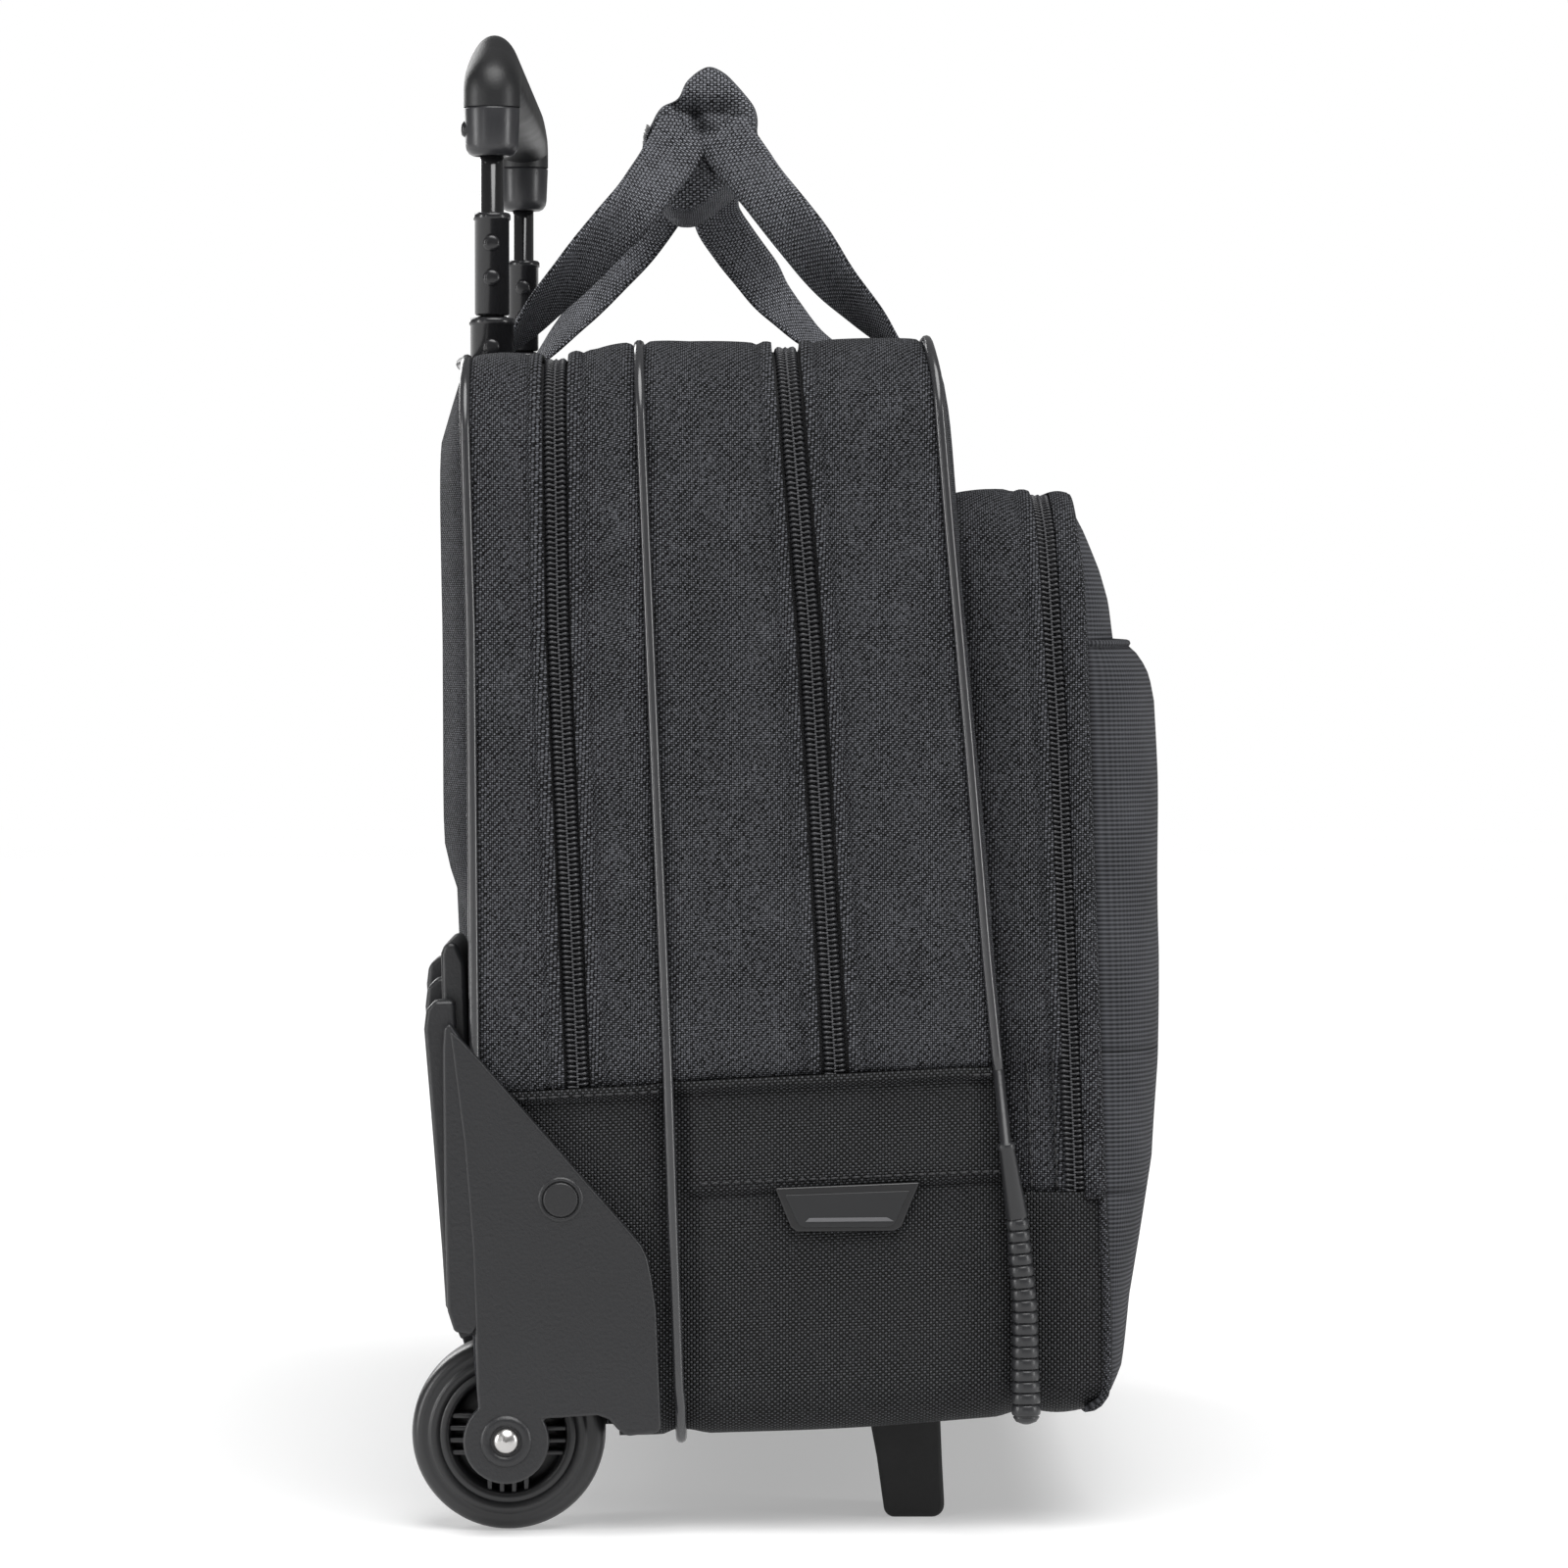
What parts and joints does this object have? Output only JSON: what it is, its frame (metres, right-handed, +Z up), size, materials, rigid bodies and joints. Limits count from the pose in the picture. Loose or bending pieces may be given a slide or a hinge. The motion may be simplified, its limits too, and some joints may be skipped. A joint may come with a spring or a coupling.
{
  "type": "rolling laptop case",
  "caption": "Soft wheeled laptop case with a telescopic pull handle, carry handle, zipped compartments, front organizer pocket and moulded wheel housings.",
  "frame": {"origin": "on the floor under the middle of the bag's bounding box", "axes": "+Z up, +Y to the back where the wheels and the pull handle are, +X to the right of someone who faces the organizer pocket"},
  "size_m": [0.4424, 0.2303, 0.468],
  "materials": {
    "polyester": "fine plain-weave polyester, matte",
    "ballistic": "coarse ballistic weave, slight sheen",
    "ribbed": "horizontally ribbed woven fabric",
    "webbing": "heavy woven webbing",
    "lining": "smooth lining over padded board",
    "piping": "glossy vinyl cord",
    "bumper": "satin ringed rubber",
    "coil": "nylon zipper coil",
    "moulded": "fine-grained moulded plastic",
    "tyre": "smooth satin solid tyre",
    "hub": "moulded plastic",
    "tube": "gloss black paint",
    "collar": "semi-gloss moulded plastic",
    "grip": "satin moulded plastic",
    "rivet": "polished steel",
    "badge": "satin plate with a lighter edge line"
  },
  "bodies": {
    "bag": {"back_panel": "polyester", "back_board": "lining", "rear_gusset": "polyester", "laptop_gusset": "polyester", "center_gusset": "polyester", "divider": "lining", "base_front": "ballistic", "base_bottom": "ballistic", "base_side_front_left": "ballistic", "base_side_front_right": "ballistic", "base_side_rear_left": "ballistic", "base_side_rear_right": "ballistic", "back_piping": "piping", "middle_piping": "piping", "bumper_left": "bumper", "bumper_right": "bumper", "rear_zipper": "coil", "front_zipper_back": "coil", "pocket_lower": "ballistic", "badge": "badge", "wheel_housing_left": "moulded", "wheel_housing_right": "moulded", "axle_left": "rivet", "axle_right": "rivet", "foot_left": "moulded", "foot_right": "moulded", "outer_tube_left": "tube", "outer_tube_right": "tube", "outer_collar_left": "collar", "outer_collar_right": "collar", "rear_strap": "webbing"},
    "handle_middle": {"middle_tube_left": "tube", "middle_tube_right": "tube", "middle_collar_left": "collar", "middle_collar_right": "collar"},
    "handle_top": {"inner_tube_left": "tube", "inner_tube_right": "tube", "grip": "grip"},
    "button": {"release_button": "collar"},
    "wheel_left": {"tyre_left": "tyre", "hub_left": "hub"},
    "wheel_right": {"tyre_right": "tyre", "hub_right": "hub"},
    "carry_grip": {"grip_wrap": "webbing"},
    "front_section": {"front_gusset": "polyester", "front_wall": "polyester", "front_piping": "piping", "front_zipper_front": "coil", "pocket_gusset": "polyester", "pocket_zipper_back": "coil", "front_strap": "webbing"},
    "organizer": {"organizer_panel": "ribbed", "slip_pocket": "ribbed", "pocket_zipper_front": "coil"},
    "rear_slider": {"rear_slider": "rivet"},
    "rear_pull": {"rear_pull": "collar"},
    "front_slider": {"front_slider": "rivet"},
    "front_pull": {"front_pull": "collar"},
    "pocket_slider": {"pocket_slider": "rivet"},
    "pocket_pull": {"pocket_pull": "collar"}
  },
  "joints": [
    {"name": "handle_lower_stage", "type": "slide", "parent": "bag", "child": "handle_middle", "axis": [0, 0, 1], "range_m": [0, 0.26]},
    {"name": "handle_upper_stage", "type": "slide", "parent": "handle_middle", "child": "handle_top", "axis": [0, 0, 1], "range_m": [0, 0.26]},
    {"name": "button_press", "type": "slide", "parent": "handle_top", "child": "button", "axis": [0, 0, -1], "range_m": [0, 0.004], "stiffness_N_per_m": 600, "springref_m": -0.002},
    {"name": "wheel_left_spin", "type": "hinge", "parent": "bag", "child": "wheel_left", "pos_m": [-0.1935, 0.0857, 0.03], "axis": [1, 0, 0], "continuous": true},
    {"name": "wheel_right_spin", "type": "hinge", "parent": "bag", "child": "wheel_right", "pos_m": [0.1935, 0.0857, 0.03], "axis": [1, 0, 0], "continuous": true},
    {"name": "carry_grip_drop", "type": "slide", "parent": "bag", "child": "carry_grip", "axis": [0, 0, 1], "range_m": [-0.04, 0], "deforming": ["rear_strap", "front_strap"]},
    {"name": "front_open", "type": "hinge", "parent": "bag", "child": "front_section", "pos_m": [0, -0.068, 0.142], "axis": [1, 0, 0], "range_deg": [0, 12], "deforming": ["pocket_lower"]},
    {"name": "organizer_open", "type": "hinge", "parent": "front_section", "child": "organizer", "pos_m": [0, -0.0925, 0.105], "axis": [1, 0, 0], "range_deg": [0, 40]},
    {"name": "rear_slider_run", "type": "slide", "parent": "bag", "child": "rear_slider", "axis": [1, 0, 0], "range_m": [-0.17, 0.13]},
    {"name": "rear_pull_flip", "type": "hinge", "parent": "rear_slider", "child": "rear_pull", "pos_m": [0.023, 0.071, 0.3666], "axis": [0, -1, 0], "range_deg": [0, 135]},
    {"name": "front_slider_run", "type": "slide", "parent": "bag", "child": "front_slider", "axis": [1, 0, 0], "range_m": [-0.17, 0.13]},
    {"name": "front_pull_flip", "type": "hinge", "parent": "front_slider", "child": "front_pull", "pos_m": [0.023, -0.0002, 0.3666], "axis": [0, -1, 0], "range_deg": [0, 135]},
    {"name": "pocket_slider_run", "type": "slide", "parent": "front_section", "child": "pocket_slider", "axis": [1, 0, 0], "range_m": [-0.17, 0.13]},
    {"name": "pocket_pull_flip", "type": "hinge", "parent": "pocket_slider", "child": "pocket_pull", "pos_m": [0.023, -0.08084, 0.3216], "axis": [0, -1, 0], "range_deg": [0, 135]}
  ]
}
